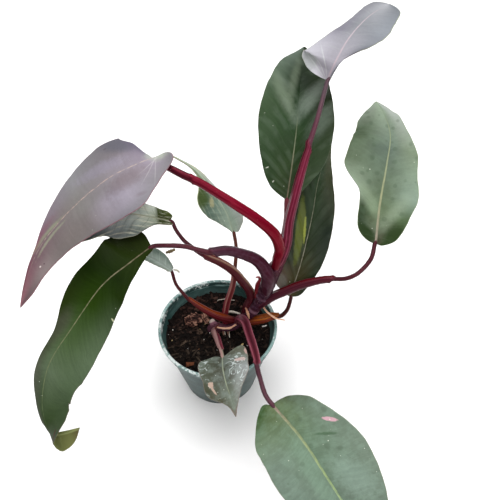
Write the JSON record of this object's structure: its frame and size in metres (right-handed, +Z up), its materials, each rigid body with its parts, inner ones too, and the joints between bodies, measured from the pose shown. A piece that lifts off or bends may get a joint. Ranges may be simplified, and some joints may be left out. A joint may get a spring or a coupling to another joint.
{
  "type": "potted burgundy princess philodendron",
  "caption": "Small round nursery pot of soil with a leaning foliage plant: long pointed leaves on sheathed burgundy stalks that fan out from one short creeping stem.",
  "frame": {"origin": "centre of the flat underside of the pot", "axes": "+Z up along the pot's axis; -Y towards the front, where the lowest large leaf reaches out; +X to the plant's right as seen from the front"},
  "size_m": [0.312, 0.3558, 0.2867],
  "materials": {
    "pot_plastic": "satin teal-green plastic, worn and crusted white along the rim",
    "soil_mix": "coarse dark brown bark and peat mix with white grains",
    "stem_skin": "dark purple skin, satin, pinkish grey at the old cut end",
    "petiole_skin": "glossy burgundy with fine ridges",
    "petiole_dark_skin": "satin dark purple with a redder sheath",
    "petiole_old_skin": "satin brown-red with an orange-brown sheath",
    "leaf_grey_lilac": "leathery, grey-lilac sheen, pink midrib",
    "leaf_dark_green": "leathery, glossy dark green with grey sheen along the side veins",
    "leaf_grey_green": "leathery, satin grey-green, pale midrib",
    "leaf_pale_green": "leathery, satin pale grey-green with cream streaks",
    "dry_scale": "dry, papery, tan",
    "bark": "rough red-brown bark"
  },
  "bodies": {
    "root": {"pot": "pot_plastic", "soil": "soil_mix", "stem": "stem_skin", "petiole_top": "petiole_skin", "petiole_left_upper": "petiole_skin", "petiole_left_lower": "petiole_dark_skin", "petiole_left_middle": "petiole_dark_skin", "petiole_right": "petiole_dark_skin", "petiole_front_right": "petiole_skin", "petiole_back_left": "petiole_skin", "petiole_back_right": "petiole_old_skin", "petiole_left_small": "petiole_old_skin", "petiole_mid_back": "petiole_old_skin", "petiole_front_small": "petiole_old_skin", "spike": "petiole_skin", "leaf_top": "leaf_grey_lilac", "leaf_left_upper": "leaf_grey_lilac", "leaf_back_left": "leaf_dark_green", "leaf_back_right": "leaf_dark_green", "leaf_right": "leaf_grey_green", "leaf_front_right": "leaf_grey_green", "leaf_left_lower": "leaf_dark_green", "leaf_left_middle": "leaf_grey_green", "leaf_mid_back": "leaf_grey_green", "leaf_left_small": "leaf_pale_green", "leaf_front_small": "leaf_pale_green", "scale_right": "dry_scale", "scale_left": "dry_scale", "scale_middle": "dry_scale", "bark_lump": "bark"}
  },
  "joints": []
}
